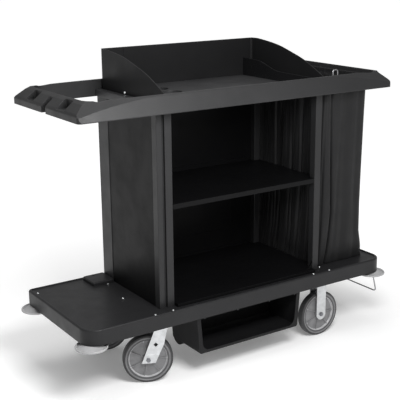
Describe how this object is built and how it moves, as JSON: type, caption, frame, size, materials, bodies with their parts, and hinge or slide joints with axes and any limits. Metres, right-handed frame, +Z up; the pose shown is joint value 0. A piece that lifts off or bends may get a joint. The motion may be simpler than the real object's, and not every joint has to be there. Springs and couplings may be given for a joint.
{
  "type": "housekeeping cart",
  "caption": "Wheeled cart with an open shelved cabinet, a handle frame with a top tray, a hanging bag, a bin under the deck and corner bumpers.",
  "frame": {"origin": "on the floor under the middle of the deck", "axes": "+X towards the bag end (fixed wheels), -Y towards the cabinet's open front, +Z up"},
  "size_m": [1.552, 0.584, 1.271],
  "materials": {
    "deck_plastic": "dark grey moulded plastic, fine texture",
    "bin_plastic": "dark grey moulded plastic",
    "post_plastic": "dark grey plastic profile",
    "panel_plastic": "near-black plastic sheet",
    "frame_plastic": "grey moulded plastic, fine texture",
    "tray_plastic": "dark grey moulded plastic",
    "hood_plastic": "dark grey moulded plastic",
    "divider": "thin smooth dark sheet",
    "bag_cloth": "dark coated nylon cloth, loosely folded",
    "bumper": "light grey non-marking rubber",
    "tyre": "dark grey solid tyre",
    "wheel_centre": "grey moulded wheel centre",
    "zinc_steel": "zinc-plated steel",
    "wire": "bright steel wire"
  },
  "bodies": {
    "cart": {"axle_front_right": "zinc_steel", "axle_rear_right": "zinc_steel", "back_panel": "panel_plastic", "bag": "bag_cloth", "bag_hooks": "wire", "base_foot": "deck_plastic", "bin_bolts": "zinc_steel", "bumper_bolts": "zinc_steel", "cabinet_floor": "panel_plastic", "caster_bolts": "zinc_steel", "deck": "deck_plastic", "deck_screws": "zinc_steel", "handle_frame": "frame_plastic", "hood": "hood_plastic", "post_front_left": "post_plastic", "post_front_right": "post_plastic", "post_rear_left": "post_plastic", "post_rear_right": "post_plastic", "rigid_fork_front": "zinc_steel", "rigid_fork_rear": "zinc_steel", "shelf": "panel_plastic", "shelf_clips": "panel_plastic", "side_panel": "panel_plastic", "swivel_plate_front": "zinc_steel", "swivel_plate_rear": "zinc_steel", "top_tray": "tray_plastic", "tray_divider": "divider", "under_deck_bin": "bin_plastic", "wing_screws": "zinc_steel", "wire_bail": "wire"},
    "swivel_front": {"swivel_fork_front": "zinc_steel", "axle_front_left": "zinc_steel"},
    "swivel_rear": {"swivel_fork_rear": "zinc_steel", "axle_rear_left": "zinc_steel"},
    "wheel_front_left": {"hub_front_left": "wheel_centre", "tyre_front_left": "tyre"},
    "bumper_front_left": {"bumper_front_left": "bumper"},
    "wheel_front_right": {"hub_front_right": "wheel_centre", "tyre_front_right": "tyre"},
    "bumper_front_right": {"bumper_front_right": "bumper"},
    "wheel_rear_left": {"hub_rear_left": "wheel_centre", "tyre_rear_left": "tyre"},
    "bumper_rear_left": {"bumper_rear_left": "bumper"},
    "wheel_rear_right": {"hub_rear_right": "wheel_centre", "tyre_rear_right": "tyre"},
    "bumper_rear_right": {"bumper_rear_right": "bumper"}
  },
  "joints": [
    {"name": "caster_swivel_front", "type": "hinge", "parent": "cart", "child": "swivel_front", "pos_m": [-0.389, -0.181, 0.24], "axis": [0, 0, 1], "continuous": true},
    {"name": "caster_swivel_rear", "type": "hinge", "parent": "cart", "child": "swivel_rear", "pos_m": [-0.389, 0.181, 0.24], "axis": [0, 0, 1], "continuous": true},
    {"name": "wheel_spin_front_left", "type": "hinge", "parent": "swivel_front", "child": "wheel_front_left", "pos_m": [-0.42554, -0.16473, 0.1], "axis": [0.4067, 0.9135, 0], "continuous": true},
    {"name": "wheel_spin_front_right", "type": "hinge", "parent": "cart", "child": "wheel_front_right", "pos_m": [0.424, -0.193, 0.1], "axis": [0, 1, 0], "continuous": true},
    {"name": "wheel_spin_rear_left", "type": "hinge", "parent": "swivel_rear", "child": "wheel_rear_left", "pos_m": [-0.42554, 0.19727, 0.1], "axis": [0.4067, 0.9135, 0], "continuous": true},
    {"name": "wheel_spin_rear_right", "type": "hinge", "parent": "cart", "child": "wheel_rear_right", "pos_m": [0.424, 0.193, 0.1], "axis": [0, 1, 0], "continuous": true},
    {"name": "bumper_turn_front_left", "type": "hinge", "parent": "cart", "child": "bumper_front_left", "pos_m": [-0.7, -0.23, 0.245], "axis": [0, 0, 1], "continuous": true},
    {"name": "bumper_turn_front_right", "type": "hinge", "parent": "cart", "child": "bumper_front_right", "pos_m": [0.7, -0.23, 0.245], "axis": [0, 0, 1], "continuous": true},
    {"name": "bumper_turn_rear_left", "type": "hinge", "parent": "cart", "child": "bumper_rear_left", "pos_m": [-0.714, 0.23, 0.245], "axis": [0, 0, 1], "continuous": true},
    {"name": "bumper_turn_rear_right", "type": "hinge", "parent": "cart", "child": "bumper_rear_right", "pos_m": [0.714, 0.23, 0.245], "axis": [0, 0, 1], "continuous": true}
  ]
}
